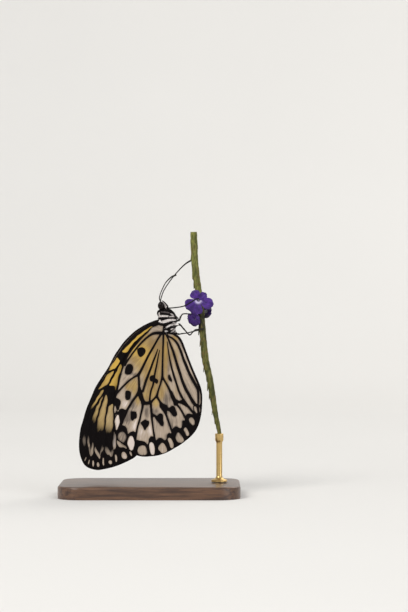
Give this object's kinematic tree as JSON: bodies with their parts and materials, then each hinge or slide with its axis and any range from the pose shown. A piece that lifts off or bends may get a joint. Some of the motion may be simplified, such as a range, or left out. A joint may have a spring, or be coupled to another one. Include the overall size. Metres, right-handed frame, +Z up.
{
  "type": "large tree nymph butterfly",
  "caption": "Life-size pale tree nymph butterfly with closed black-veined wings, clinging to a cut flower spike that stands on a small display base.",
  "frame": {"origin": "centre of the stand's underside, in the middle plane between the closed wings", "axes": "+Z up to the cut end of the flower spike, +X from the wing tips to the spike, +Y towards the butterfly's left side"},
  "size_m": [0.072, 0.044, 0.1052],
  "materials": {
    "forewing": "fine dusty scales, golden near the root, with black veins, spots and tip",
    "hindwing": "fine dusty scales, tan to grey cream, with black veins and spots and a black border with white spots",
    "body": "short soft scales in black and greyish white bands",
    "abdomen": "short soft pale scales with grey rings",
    "eye": "glossy near-black",
    "limb": "satin black with pale streaks on the legs",
    "stem": "matte olive green plant stem",
    "petal": "velvety violet petals with a white throat",
    "base_wood": "dark satin wood",
    "rod_brass": "satin brass"
  },
  "bodies": {
    "root": {"head": "body", "thorax": "body", "abdomen": "abdomen", "eye_left": "eye", "eye_right": "eye", "palp_left": "body", "palp_right": "body", "proboscis": "limb", "antenna_left": "limb", "antenna_right": "limb", "foreleg_left": "limb", "foreleg_right": "limb", "midleg_left": "limb", "midleg_right": "limb", "hindleg_left": "limb", "hindleg_right": "limb", "forewing_left": "forewing", "forewing_right": "forewing", "hindwing_left": "hindwing", "hindwing_right": "hindwing", "spike": "stem", "flower_front": "petal", "flower_low": "petal", "flower_back": "petal", "stand_base": "base_wood", "stand_rod": "rod_brass"}
  },
  "joints": []
}
